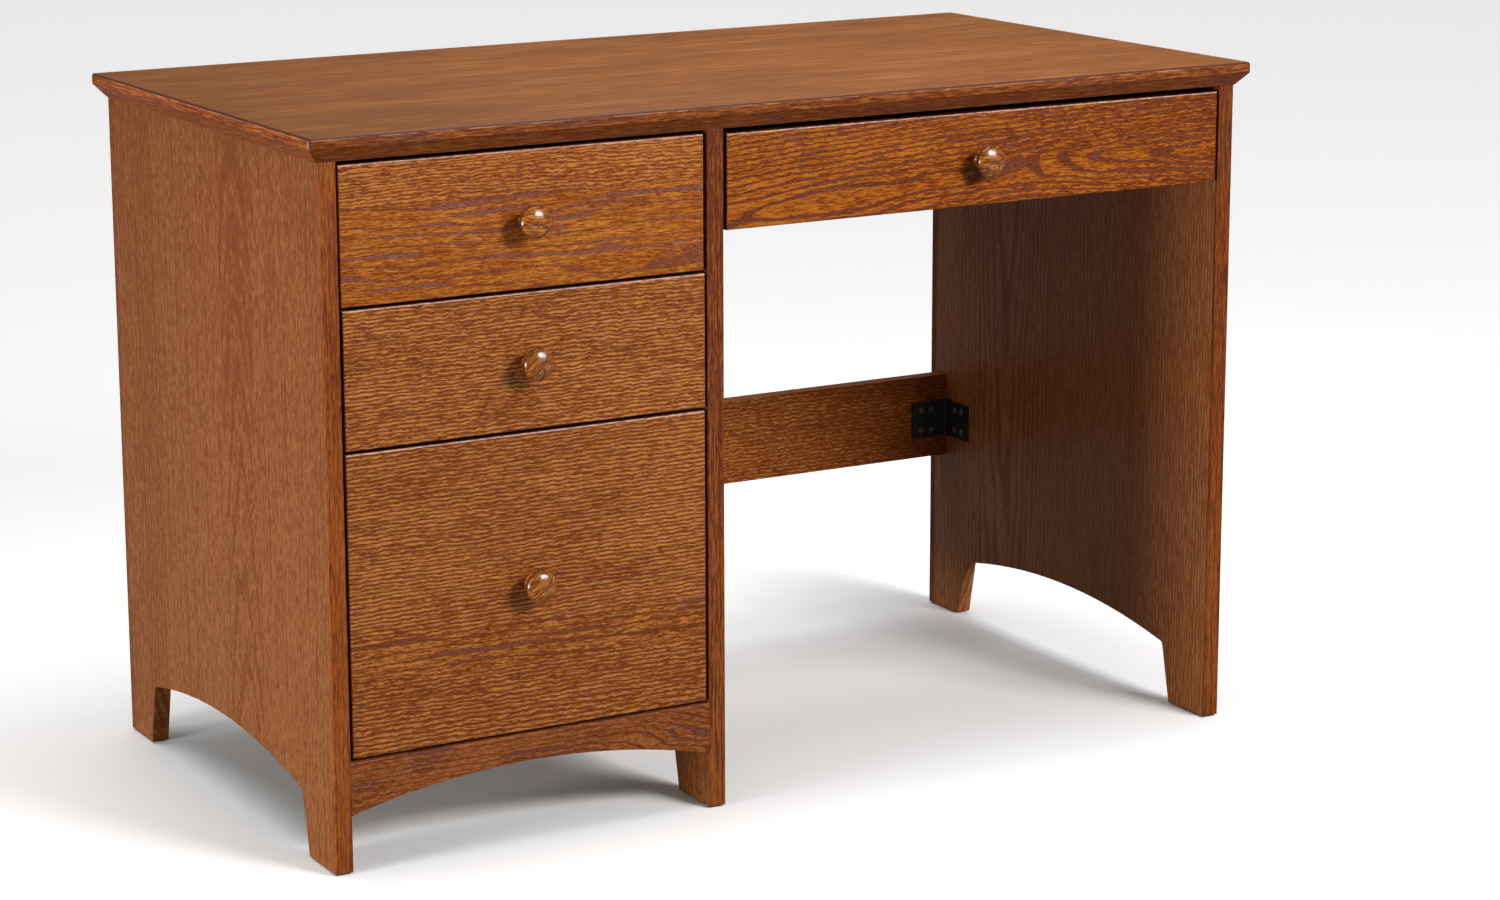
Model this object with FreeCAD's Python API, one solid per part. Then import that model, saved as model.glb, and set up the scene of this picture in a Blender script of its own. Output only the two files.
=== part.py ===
import FreeCAD, Part
import math
import os

# Teacher desk: a pedestal of two box drawers and a file drawer on the left, a kneehole with a
# pencil drawer on the right, under one moulded top. Millimetres. +X is the sitter's right, +Y is
# the back and +Z is up. The origin is on the floor, at the middle of the overall box, which the
# knobs lengthen at the front.

V = FreeCAD.Vector

# Overall
HEIGHT = 762.0
TOP_WIDTH = 1143.0
TOP_DEPTH = 609.6
TOP_THICKNESS = 26.0

# Moulded top edge: a veneer skin, an upright band and a chamfer below it
TOP_SKIN = 1.5
TOP_EDGE_BAND = 10.6
TOP_CHAMFER_RUN = 13.0
TOP_EDGE_WIDTH = 25.4
TOP_CORNER_RADIUS = 4.0
TOP_ARRIS_RADIUS = 3.0
FRONT_OVERHANG = 13.0
SIDE_OVERHANG = 14.3

# Upright panels, their feet and the arch between the feet
PANEL = 19.05
FRONT_BAND = 3.2
REAR_BAND = 12.0
ARRIS = 0.8
GLIDE_HEIGHT = 2.0
FRONT_FOOT_TOP = 83.2
FRONT_FOOT_SOLE = 68.6
REAR_FOOT_TOP = 79.7
REAR_FOOT_SOLE = 65.0
ARCH_SPRING = 71.0
ARCH_CROWN = 94.2
ARCH_CORNER_RADIUS = 6.0

# Pedestal
PEDESTAL_OPENING = 419.1
TOE_RAIL_BOTTOM = 62.4
TOE_RAIL_TOP = 118.4
TOE_ARCH_CROWN = 89.4
BOTTOM_THICKNESS = 12.0
BACK_THICKNESS = 6.35
TOP_RAIL_WIDTH = 60.0
TOP_RAIL_SETBACK = 60.0

# Kneehole
STRETCHER_SETBACK = 548.2
STRETCHER_BOTTOM = 204.3
STRETCHER_TOP = 308.6
APRON_DEPTH = 89.0

# Corner brackets of the stretcher
BRACKET_LEAF = 52.0
BRACKET_HEIGHT = 45.6
BRACKET_BOTTOM = 230.5
BRACKET_GAUGE = 2.5
BRACKET_BEND = 2.0

# Screws
SCREW_HEAD_RADIUS = 3.4
SCREW_HEAD_HEIGHT = 1.6
SCREW_SHANK_RADIUS = 1.8
SCREW_LENGTH = 14.0
TOP_SCREW_LENGTH = 32.0

# Drawers
FRONT_THICKNESS = 19.05
FRONT_EDGE_RADIUS = 2.0
BOX_BOARD = 12.7
DRAWER_BOTTOM = 6.35
GROOVE_DEPTH = 6.0
GROOVE_HEIGHT = 8.0
SLIDE_GAP = 12.7
DRAWER_GAP = 3.1
TOP_DRAWER_GAP = 4.4

# Knobs
KNOB_RADIUS = 17.46
KNOB_LENGTH = 30.0
KNOB_FOOT_RADIUS = 9.6
KNOB_FOOT_THICKNESS = 1.6
KNOB_WAIST_RADIUS = 7.0
KNOB_WAIST_OUT = 7.0
KNOB_SHOULDER_RADIUS = 6.5
KNOB_HOLE_DEPTH = 15.0
KNOB_SCREW_RADIUS = 2.0
KNOB_SCREW_BITE = 13.0
KNOB_SCREW_HEAD_RADIUS = 4.4
KNOB_SCREW_HEAD_HEIGHT = 2.4

# Telescopic steel slides, measured across the gap from the carcass to the drawer box
SLIDE_GAUGE = 1.2
SLIDE_CLEARANCE = 0.8
BOX_SLIDE_HEIGHT = 36.0
FILE_SLIDE_HEIGHT = 46.0

# Hanging-file rails in the file drawer, for letter-size folders
FILE_RAIL_SPACING = 318.0
FILE_RAIL_THICKNESS = 3.0
FILE_RAIL_HEIGHT = 14.0
FILE_RAIL_SEAT = 5.0

# Derived planes and sizes
CARCASS_WIDTH = TOP_WIDTH - 2 * SIDE_OVERHANG
CARCASS_DEPTH = TOP_DEPTH - 2 * FRONT_OVERHANG
TOP_UNDERSIDE = HEIGHT - TOP_THICKNESS
FRONT_Y = -(CARCASS_DEPTH + FRONT_OVERHANG - KNOB_LENGTH) / 2
REAR_Y = FRONT_Y + CARCASS_DEPTH
LEFT_X = -CARCASS_WIDTH / 2
RIGHT_X = CARCASS_WIDTH / 2
PEDESTAL_LEFT = LEFT_X + PANEL
PEDESTAL_RIGHT = PEDESTAL_LEFT + PEDESTAL_OPENING
KNEEHOLE_LEFT = PEDESTAL_RIGHT + PANEL
KNEEHOLE_RIGHT = RIGHT_X - PANEL
BACK_PANEL_Y = REAR_Y - REAR_BAND - BACK_THICKNESS
STRETCHER_Y = FRONT_Y + STRETCHER_SETBACK
KNOB_RIM_OUT = math.sqrt((KNOB_LENGTH - KNOB_SHOULDER_RADIUS) ** 2
                         - (KNOB_RADIUS - KNOB_SHOULDER_RADIUS) ** 2)

os.makedirs("parts", exist_ok=True)


def save(name, *solids):
    shape = solids[0] if len(solids) == 1 else Part.makeCompound(list(solids))
    shape.exportStep("parts/" + name + ".step")


def block(x0, x1, y0, y1, z0, z1):
    """A board between two opposite corners."""
    return Part.makeBox(x1 - x0, y1 - y0, z1 - z0, V(x0, y0, z0))


def prism(edges, direction):
    """Extrude the closed outline made of the edges."""
    return Part.Face(Part.Wire(edges)).extrude(direction)


def outline(points):
    """The straight edges of a closed polygon."""
    corners = [V(*point) for point in points]
    return [Part.LineSegment(a, b).toShape() for a, b in zip(corners, corners[1:] + corners[:1])]


def edges_where(solid, test):
    """The edges whose every vertex passes the test."""
    return [edge for edge in solid.Edges if all(test(vertex.Point) for vertex in edge.Vertexes)]


def ease(solid, radius, test):
    return solid.makeFillet(radius, edges_where(solid, test))


def near(a, b):
    return abs(a - b) < 0.01


# ---------------------------------------------------------------- top

def footprint(inset, z):
    """The corners of the top's outline, brought in by inset, at height z."""
    x = TOP_WIDTH / 2 - inset
    y0 = FRONT_Y - FRONT_OVERHANG + inset
    y1 = REAR_Y + FRONT_OVERHANG - inset
    return [(-x, y0, z), (x, y0, z), (x, y1, z), (-x, y1, z)]


def moulded_top():
    """The top's whole outside: rounded corners, a rounded upper arris and the chamfer below."""
    band_z = HEIGHT - TOP_EDGE_BAND
    slab = prism(outline(footprint(0.0, TOP_UNDERSIDE)), V(0, 0, TOP_THICKNESS))
    upright = [edge for edge in slab.Edges if near(edge.BoundBox.ZLength, TOP_THICKNESS)]
    slab = slab.makeFillet(TOP_CORNER_RADIUS, upright)
    slab = ease(slab, TOP_ARRIS_RADIUS, lambda p: near(p.z, HEIGHT))
    chamfer = Part.makeLoft(
        [Part.Wire(outline(footprint(TOP_CHAMFER_RUN, TOP_UNDERSIDE))),
         Part.Wire(outline(footprint(0.0, band_z)))], True, True)
    band = prism(outline(footprint(0.0, band_z)), V(0, 0, TOP_EDGE_BAND))
    return slab.common(chamfer.fuse(band))


def make_top():
    skin_z = HEIGHT - TOP_SKIN
    whole = moulded_top()
    core = prism(outline(footprint(TOP_EDGE_WIDTH, TOP_UNDERSIDE)), V(0, 0, skin_z - TOP_UNDERSIDE))
    below = prism(outline(footprint(-1.0, TOP_UNDERSIDE - 1.0)), V(0, 0, skin_z - TOP_UNDERSIDE + 1.0))
    panel = core.fuse(whole.cut(below)).removeSplitter()
    for x, y in top_screw_places():
        panel = panel.cut(Part.makeCylinder(SCREW_SHANK_RADIUS, TOP_SCREW_LENGTH - PANEL,
                                            V(x, y, TOP_UNDERSIDE)))
    save("desktop_panel", panel)

    frame = whole.common(below).cut(core).removeSplitter()
    inner = footprint(TOP_EDGE_WIDTH, TOP_UNDERSIDE)
    outer = footprint(-1.0, TOP_UNDERSIDE)
    # The mitres run from the core's corners to the outer corners.
    for index, side in enumerate(("front", "right", "rear", "left")):
        after = (index + 1) % 4
        corners = [inner[index], outer[index], outer[after], inner[after]]
        wedge = prism(outline(corners), V(0, 0, TOP_THICKNESS))
        save("top_edge_" + side, frame.common(wedge))


# ---------------------------------------------------------------- uprights

def foot_arch(x0, x1):
    """The space between the front foot and the rear foot, from one face of a panel to the other."""
    front_sole = FRONT_Y + FRONT_FOOT_SOLE
    front_top = FRONT_Y + FRONT_FOOT_TOP
    rear_top = REAR_Y - REAR_FOOT_TOP
    rear_sole = REAR_Y - REAR_FOOT_SOLE
    sole = GLIDE_HEIGHT
    below = -10.0
    front_lean = (front_top - front_sole) / (ARCH_SPRING - sole)
    rear_lean = (rear_sole - rear_top) / (ARCH_SPRING - sole)
    a = V(x0, front_sole - front_lean * (sole - below), below)
    b = V(x0, front_top, ARCH_SPRING)
    crown = V(x0, (front_top + rear_top) / 2, ARCH_CROWN)
    c = V(x0, rear_top, ARCH_SPRING)
    d = V(x0, rear_sole + rear_lean * (sole - below), below)
    edges = [
        Part.LineSegment(a, b).toShape(),
        Part.Arc(b, crown, c).toShape(),
        Part.LineSegment(c, d).toShape(),
        Part.LineSegment(d, a).toShape(),
    ]
    space = prism(edges, V(x1 - x0, 0, 0))
    corners = [edge for edge in space.Edges
               if near(edge.BoundBox.XLength, x1 - x0) and near(edge.BoundBox.ZMin, ARCH_SPRING)]
    return space.makeFillet(ARCH_CORNER_RADIUS, corners)


def make_uprights():
    places = {
        "left_side_panel": (LEFT_X, "left_panel_front_band"),
        "divider_panel": (PEDESTAL_RIGHT, "divider_front_band"),
        "right_side_panel": (KNEEHOLE_RIGHT, "right_panel_front_band"),
    }
    rear_bands = []
    for name, (x, band_name) in places.items():
        panel = block(x, x + PANEL, FRONT_Y + FRONT_BAND, REAR_Y - REAR_BAND,
                      GLIDE_HEIGHT, TOP_UNDERSIDE)
        panel = panel.cut(foot_arch(x, x + PANEL))
        for hole in screw_holes(x, x + PANEL):
            panel = panel.cut(hole)
        save(name, panel)
        band = block(x, x + PANEL, FRONT_Y, FRONT_Y + FRONT_BAND, GLIDE_HEIGHT, TOP_UNDERSIDE)
        save(band_name, ease(band, ARRIS, lambda p: near(p.y, FRONT_Y)))
        rear = block(x, x + PANEL, REAR_Y - REAR_BAND, REAR_Y, GLIDE_HEIGHT, TOP_UNDERSIDE)
        rear_bands.append(ease(rear, ARRIS, lambda p: near(p.y, REAR_Y)))
    save("panel_rear_bands", *rear_bands)


def make_glides():
    """A low plastic glide under each foot, its lower edge eased."""
    glides = []
    for x in (LEFT_X, PEDESTAL_RIGHT, KNEEHOLE_RIGHT):
        for y0, y1 in ((FRONT_Y + 3.0, FRONT_Y + FRONT_FOOT_SOLE - 3.0),
                       (REAR_Y - REAR_FOOT_SOLE + 3.0, REAR_Y - 3.0)):
            glide = block(x + 2.0, x + PANEL - 2.0, y0, y1, 0.0, GLIDE_HEIGHT)
            glides.append(ease(glide, 1.0, lambda p: near(p.z, 0.0)))
    save("foot_glides", *glides)


# ---------------------------------------------------------------- pedestal and kneehole boards

def make_toe_rail():
    y0 = FRONT_Y
    left = V(PEDESTAL_LEFT, y0, TOE_RAIL_BOTTOM)
    right = V(PEDESTAL_RIGHT, y0, TOE_RAIL_BOTTOM)
    crown = V((PEDESTAL_LEFT + PEDESTAL_RIGHT) / 2, y0, TOE_ARCH_CROWN)
    top_right = V(PEDESTAL_RIGHT, y0, TOE_RAIL_TOP)
    top_left = V(PEDESTAL_LEFT, y0, TOE_RAIL_TOP)
    edges = [
        Part.Arc(left, crown, right).toShape(),
        Part.LineSegment(right, top_right).toShape(),
        Part.LineSegment(top_right, top_left).toShape(),
        Part.LineSegment(top_left, left).toShape(),
    ]
    rail = prism(edges, V(0, PANEL, 0))
    top_arris = [edge for edge in rail.Edges
                 if near(edge.BoundBox.YMax, FRONT_Y) and near(edge.BoundBox.ZMin, TOE_RAIL_TOP)]
    save("toe_rail", rail.makeFillet(ARRIS, top_arris))


def make_boards():
    make_toe_rail()
    bottom_top = TOE_RAIL_TOP - 2.4
    bottom_z = bottom_top - BOTTOM_THICKNESS
    save("pedestal_bottom", block(PEDESTAL_LEFT, PEDESTAL_RIGHT, FRONT_Y + PANEL, BACK_PANEL_Y,
                                  bottom_z, bottom_top))
    save("pedestal_back", block(PEDESTAL_LEFT, PEDESTAL_RIGHT, BACK_PANEL_Y,
                                BACK_PANEL_Y + BACK_THICKNESS, bottom_z, TOP_UNDERSIDE))
    rail = block(PEDESTAL_LEFT, PEDESTAL_RIGHT, FRONT_Y + TOP_RAIL_SETBACK,
                 FRONT_Y + TOP_RAIL_SETBACK + TOP_RAIL_WIDTH, TOP_UNDERSIDE - PANEL, TOP_UNDERSIDE)
    for x, y in top_screw_places():
        rail = rail.cut(Part.makeCylinder(SCREW_SHANK_RADIUS, PANEL, V(x, y, TOP_UNDERSIDE - PANEL)))
    save("pedestal_top_rail", rail)
    save("kneehole_rear_apron", block(KNEEHOLE_LEFT, KNEEHOLE_RIGHT, STRETCHER_Y,
                                      STRETCHER_Y + PANEL, TOP_UNDERSIDE - APRON_DEPTH,
                                      TOP_UNDERSIDE))
    stretcher = block(KNEEHOLE_LEFT, KNEEHOLE_RIGHT, STRETCHER_Y, STRETCHER_Y + PANEL,
                      STRETCHER_BOTTOM, STRETCHER_TOP)
    stretcher = ease(stretcher, ARRIS, lambda p: near(p.z, STRETCHER_TOP))
    for hole in screw_holes(KNEEHOLE_LEFT + 1.0, KNEEHOLE_RIGHT - 1.0):
        stretcher = stretcher.cut(hole)
    save("kneehole_stretcher", stretcher)


# ---------------------------------------------------------------- brackets and screws

def screw(base, direction, length):
    """A pan-head screw: its head stands on the base, its shank goes the other way."""
    head = Part.makeCylinder(SCREW_HEAD_RADIUS, SCREW_HEAD_HEIGHT, base, direction)
    rim = [edge for edge in head.Edges
           if edge.Curve.TypeId == "Part::GeomCircle"
           and near((edge.Curve.Center - base).dot(direction), SCREW_HEAD_HEIGHT)]
    head = head.makeFillet(SCREW_HEAD_HEIGHT * 0.6, rim)
    recess = Part.makeCylinder(SCREW_HEAD_RADIUS * 0.35, SCREW_HEAD_HEIGHT * 0.5,
                               base + direction * SCREW_HEAD_HEIGHT * 0.5, direction)
    shank = Part.makeCylinder(SCREW_SHANK_RADIUS, length, base, direction * -1)
    return head.fuse(shank).cut(recess).removeSplitter()


def bracket_screw_places():
    """The base and outward direction of each screw on the two corner brackets."""
    places = []
    along = (0.24 * BRACKET_LEAF, 0.54 * BRACKET_LEAF)
    heights = (BRACKET_BOTTOM + 0.21 * BRACKET_HEIGHT, BRACKET_BOTTOM + 0.78 * BRACKET_HEIGHT)
    for face_x, inward in ((KNEEHOLE_LEFT, 1), (KNEEHOLE_RIGHT, -1)):
        for z in heights:
            for reach in along:
                out = BRACKET_LEAF - reach
                places.append((V(face_x + inward * out, STRETCHER_Y - BRACKET_GAUGE, z), V(0, -1, 0)))
                places.append((V(face_x + inward * BRACKET_GAUGE, STRETCHER_Y - out, z),
                               V(inward, 0, 0)))
    return places


def top_screw_places():
    middle = (PEDESTAL_LEFT + PEDESTAL_RIGHT) / 2
    y = FRONT_Y + TOP_RAIL_SETBACK + TOP_RAIL_WIDTH / 2
    return [(middle + offset, y) for offset in (-150.0, -50.0, 50.0, 150.0)]


def screw_holes(x0, x1):
    """Pilot holes of the bracket screws whose bases lie between two x planes."""
    holes = []
    for base, direction in bracket_screw_places():
        tip = base - direction * (SCREW_LENGTH + 0.5)
        if x0 < tip.x < x1:
            holes.append(Part.makeCylinder(SCREW_SHANK_RADIUS, SCREW_LENGTH + 0.5, base,
                                           direction * -1))
    return holes


def make_brackets():
    brackets = []
    top = BRACKET_BOTTOM + BRACKET_HEIGHT
    for face_x, inward in ((KNEEHOLE_LEFT, 1), (KNEEHOLE_RIGHT, -1)):
        gauge = inward * BRACKET_GAUGE
        leaf = inward * BRACKET_LEAF
        y = STRETCHER_Y
        section = outline([
            (face_x, y, BRACKET_BOTTOM),
            (face_x + leaf, y, BRACKET_BOTTOM),
            (face_x + leaf, y - BRACKET_GAUGE, BRACKET_BOTTOM),
            (face_x + gauge, y - BRACKET_GAUGE, BRACKET_BOTTOM),
            (face_x + gauge, y - BRACKET_LEAF, BRACKET_BOTTOM),
            (face_x, y - BRACKET_LEAF, BRACKET_BOTTOM),
        ])
        bracket = prism(section, V(0, 0, top - BRACKET_BOTTOM))
        bend = edges_where(bracket, lambda p: near(p.x, face_x + gauge)
                           and near(p.y, y - BRACKET_GAUGE))
        bracket = bracket.makeFillet(BRACKET_BEND, bend)
        for base, direction in bracket_screw_places():
            if abs(base.x - face_x) < BRACKET_LEAF + 1.0:
                bracket = bracket.cut(Part.makeCylinder(
                    SCREW_SHANK_RADIUS, BRACKET_GAUGE, base, direction * -1))
        brackets.append(bracket)
    save("stretcher_brackets", *brackets)


def make_screws():
    screws = [screw(base, direction, SCREW_LENGTH) for base, direction in bracket_screw_places()]
    for x, y in top_screw_places():
        screws.append(screw(V(x, y, TOP_UNDERSIDE - PANEL), V(0, 0, -1), TOP_SCREW_LENGTH))
    save("carcass_screws", *screws)


# ---------------------------------------------------------------- drawers

class Drawer:
    """One drawer: where its front and its box lie, and the slides that carry it."""

    def __init__(self, name, opening, z_span, box_span, recess, shift, box_length, slide_height):
        self.name = name
        self.left, self.right = opening
        self.z0, self.z1 = z_span
        self.box_z0, self.box_z1 = box_span
        self.y0 = FRONT_Y + recess
        self.shift = shift
        self.length = box_length
        self.slide_height = slide_height
        self.box_y0 = self.y0 + FRONT_THICKNESS
        self.box_y1 = self.box_y0 + box_length
        self.box_x0 = self.left + SLIDE_GAP
        self.box_x1 = self.right - SLIDE_GAP
        self.knob_x = (self.left + self.right) / 2 + shift
        self.knob_z = (self.z0 + self.z1) / 2

    def make_front(self, gap_left, gap_right):
        x0 = self.left + gap_left + self.shift
        x1 = self.right - gap_right + self.shift
        front = block(x0, x1, self.y0, self.box_y0, self.z0, self.z1)
        front = ease(front, FRONT_EDGE_RADIUS, lambda p: near(p.y, self.y0))
        save(self.name + "_front", front.cut(self.screw_hole()))

    def screw_hole(self):
        return Part.makeCylinder(KNOB_SCREW_RADIUS, FRONT_THICKNESS + BOX_BOARD,
                                 V(self.knob_x, self.y0, self.knob_z), V(0, 1, 0))

    def bottom_slab(self):
        return block(self.box_x0 + BOX_BOARD - GROOVE_DEPTH, self.box_x1 - BOX_BOARD + GROOVE_DEPTH,
                     self.box_y0 + BOX_BOARD - GROOVE_DEPTH, self.box_y1 - BOX_BOARD + GROOVE_DEPTH,
                     self.box_z0 + GROOVE_HEIGHT, self.box_z0 + GROOVE_HEIGHT + DRAWER_BOTTOM)

    def make_box(self, extra_cuts=()):
        """Two long sides, the inner front and the back between them, and a bottom in grooves."""
        x0, x1, y0, y1 = self.box_x0, self.box_x1, self.box_y0, self.box_y1
        z0, z1 = self.box_z0, self.box_z1
        bottom = self.bottom_slab()
        boards = {
            "left_side": block(x0, x0 + BOX_BOARD, y0, y1, z0, z1),
            "right_side": block(x1 - BOX_BOARD, x1, y0, y1, z0, z1),
            "inner_front": block(x0 + BOX_BOARD, x1 - BOX_BOARD, y0, y0 + BOX_BOARD, z0, z1),
            "back": block(x0 + BOX_BOARD, x1 - BOX_BOARD, y1 - BOX_BOARD, y1, z0, z1),
        }
        for part_name, board in boards.items():
            board = ease(board, ARRIS, lambda p: near(p.z, z1))
            board = board.cut(bottom)
            if part_name == "inner_front":
                board = board.cut(self.screw_hole())
            for cutter in extra_cuts:
                board = board.cut(cutter)
            save(self.name + "_" + part_name, board)
        save(self.name + "_bottom", bottom)

    def make_knob(self):
        """A turned mushroom knob with a flared foot, on a machine screw from inside the box."""
        def at(radius, out):
            return V(self.knob_x + radius, self.y0 - out, self.knob_z)

        # The dome is part of a sphere about the knob's base, and meets a tighter shoulder.
        shoulder = KNOB_RADIUS - KNOB_SHOULDER_RADIUS
        lean = math.atan2(shoulder, KNOB_RIM_OUT)
        half_turn = (math.pi / 2 + lean) / 2
        dome_start = at(KNOB_LENGTH * math.sin(lean), KNOB_LENGTH * math.cos(lean))
        dome_middle = at(KNOB_LENGTH * math.sin(lean / 2), KNOB_LENGTH * math.cos(lean / 2))
        tip = at(0, KNOB_LENGTH)
        shoulder_middle = at(shoulder + KNOB_SHOULDER_RADIUS * math.sin(half_turn),
                             KNOB_RIM_OUT + KNOB_SHOULDER_RADIUS * math.cos(half_turn))
        foot = at(KNOB_FOOT_RADIUS, 0)
        foot_edge = at(KNOB_FOOT_RADIUS, KNOB_FOOT_THICKNESS)
        waist = at(KNOB_WAIST_RADIUS, KNOB_WAIST_OUT)
        under_rim = at(KNOB_RADIUS - 1.5, KNOB_RIM_OUT - 3.9)
        rim = at(KNOB_RADIUS, KNOB_RIM_OUT)
        hole_end = at(KNOB_SCREW_RADIUS, KNOB_HOLE_DEPTH)
        section = [
            Part.LineSegment(at(KNOB_SCREW_RADIUS, 0), foot).toShape(),
            Part.LineSegment(foot, foot_edge).toShape(),
            Part.Arc(foot_edge, at(KNOB_WAIST_RADIUS + 0.6, 3.8), waist).toShape(),
            Part.Arc(waist, at(KNOB_WAIST_RADIUS + 3.0, 13.1), under_rim).toShape(),
            Part.Arc(under_rim, at(KNOB_RADIUS - 0.4, KNOB_RIM_OUT - 2.1), rim).toShape(),
            Part.Arc(rim, shoulder_middle, dome_start).toShape(),
            Part.Arc(dome_start, dome_middle, tip).toShape(),
            Part.LineSegment(tip, at(0, KNOB_HOLE_DEPTH)).toShape(),
            Part.LineSegment(at(0, KNOB_HOLE_DEPTH), hole_end).toShape(),
            Part.LineSegment(hole_end, at(KNOB_SCREW_RADIUS, 0)).toShape(),
        ]
        face = Part.Face(Part.Wire(section))
        knob = face.revolve(V(self.knob_x, self.y0, self.knob_z), V(0, 1, 0), 360)
        save(self.name + "_knob", knob)

        inside_y = self.box_y0 + BOX_BOARD
        length = FRONT_THICKNESS + BOX_BOARD + KNOB_SCREW_BITE
        shank = Part.makeCylinder(KNOB_SCREW_RADIUS, length,
                                  V(self.knob_x, inside_y, self.knob_z), V(0, -1, 0))
        head = Part.makeCylinder(KNOB_SCREW_HEAD_RADIUS, KNOB_SCREW_HEAD_HEIGHT,
                                 V(self.knob_x, inside_y, self.knob_z), V(0, 1, 0))
        head = ease(head, 1.2, lambda p: near(p.y, inside_y + KNOB_SCREW_HEAD_HEIGHT))
        save(self.name + "_knob_screw", shank.fuse(head).removeSplitter())

    def slide_pair(self, section):
        """Run one section of (distance from the carcass, height) points along both gaps."""
        mid_z = (self.box_z0 + self.box_z1) / 2
        pair = []
        for face_x, inward in ((self.left, 1), (self.right, -1)):
            points = [(face_x + inward * s, self.box_y0, mid_z + z) for s, z in section]
            pair.append(prism(outline(points), V(0, self.length, 0)))
        return pair


def channel(web, depth, height, lip):
    """A C-channel with lips: the web's near face, the lips' far face, the height, the lip."""
    g = SLIDE_GAUGE
    h = height / 2
    return [(web, -h), (depth, -h), (depth, -h + lip), (depth - g, -h + lip), (depth - g, -h + g),
            (web + g, -h + g), (web + g, h - g), (depth - g, h - g), (depth - g, h - lip),
            (depth, h - lip), (depth, h), (web, h)]


def hat(brim, height, crown_height):
    """A hat section: its crown lies on the drawer box, its brims run inside a channel."""
    g = SLIDE_GAUGE
    h = height / 2
    c = crown_height / 2
    far = SLIDE_GAP
    return [(brim, -h), (brim + g, -h), (brim + g, -c), (far, -c), (far, c), (brim + g, c),
            (brim + g, h), (brim, h), (brim, c - g), (far - g, c - g), (far - g, -c + g),
            (brim, -c + g)]


def make_slides(drawers):
    """Two-piece slides on the box and pencil drawers, three-piece slides on the file drawer."""
    g = SLIDE_GAUGE
    play = SLIDE_CLEARANCE
    lip = 3.6
    cabinet = []
    for drawer in drawers:
        outer_height = drawer.slide_height
        outer_depth = 9.8
        cabinet += drawer.slide_pair(channel(0.0, outer_depth, outer_height, lip))
        inner_height = outer_height - 2 * g - 2 * play
        inner_web = g + play
        if drawer.name == "file_drawer":
            middle_depth = outer_depth - g - play
            middle = channel(inner_web, middle_depth, inner_height, lip)
            save("file_drawer_middle_slides", *drawer.slide_pair(middle))
            inner_height -= 2 * g + 2 * play
            inner_web += g + play
            outer_height -= 2 * g + 2 * play
        crown_height = outer_height - 2 * lip - 2 * play
        save(drawer.name + "_slides", *drawer.slide_pair(hat(inner_web, inner_height, crown_height)))
    save("cabinet_slides", *cabinet)


def make_file_rails(drawer):
    """Two flat steel bars, let into the inner front and the back, that folders hang from."""
    middle = (drawer.box_x0 + drawer.box_x1) / 2
    y0 = drawer.box_y0 + BOX_BOARD - FILE_RAIL_SEAT
    y1 = drawer.box_y1 - BOX_BOARD + FILE_RAIL_SEAT
    z1 = drawer.box_z1 - 2.0
    rails = []
    for side in (-1, 1):
        x = middle + side * FILE_RAIL_SPACING / 2
        rails.append(block(x - FILE_RAIL_THICKNESS / 2, x + FILE_RAIL_THICKNESS / 2, y0, y1,
                           z1 - FILE_RAIL_HEIGHT, z1))
    save("file_drawer_file_rails", *rails)
    seats = [block(x - FILE_RAIL_THICKNESS / 2, x + FILE_RAIL_THICKNESS / 2, y0, y1,
                   z1 - FILE_RAIL_HEIGHT, z1 + 10.0)
             for x in (middle - FILE_RAIL_SPACING / 2, middle + FILE_RAIL_SPACING / 2)]
    return seats


def make_drawers():
    pedestal = (PEDESTAL_LEFT, PEDESTAL_RIGHT)
    kneehole = (KNEEHOLE_LEFT, KNEEHOLE_RIGHT)
    box_front = 143.2
    top_z1 = TOP_UNDERSIDE - TOP_DRAWER_GAP
    top_z0 = top_z1 - box_front
    mid_z1 = top_z0 - DRAWER_GAP
    mid_z0 = mid_z1 - box_front
    file_z1 = mid_z0 - DRAWER_GAP
    file_z0 = TOE_RAIL_TOP + DRAWER_GAP
    pencil_z1 = TOP_UNDERSIDE - 6.1
    pencil_z0 = pencil_z1 - 101.6
    top = Drawer("top_drawer", pedestal, (top_z0, top_z1), (top_z0 + 18, top_z1 - 23),
                 1.0, -0.7, 508.0, BOX_SLIDE_HEIGHT)
    middle = Drawer("middle_drawer", pedestal, (mid_z0, mid_z1), (mid_z0 + 18, mid_z1 - 23),
                    1.0, 0.5, 508.0, BOX_SLIDE_HEIGHT)
    file = Drawer("file_drawer", pedestal, (file_z0, file_z1), (file_z0 + 18, file_z0 + 260),
                  1.0, 0.0, 508.0, FILE_SLIDE_HEIGHT)
    pencil = Drawer("pencil_drawer", kneehole, (pencil_z0, pencil_z1),
                    (pencil_z0 + 18, pencil_z1 - 20), 0.0, 0.0, 406.4, BOX_SLIDE_HEIGHT)
    for drawer in (top, middle, file):
        drawer.make_front(DRAWER_GAP, DRAWER_GAP)
    pencil.make_front(4.4, 2.7)
    for drawer in (top, middle, pencil):
        drawer.make_box()
    file.make_box(make_file_rails(file))
    for drawer in (top, middle, file, pencil):
        drawer.make_knob()
    make_slides((top, middle, file, pencil))


make_top()
make_uprights()
make_glides()
make_boards()
make_brackets()
make_screws()
make_drawers()
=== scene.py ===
import math

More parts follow.
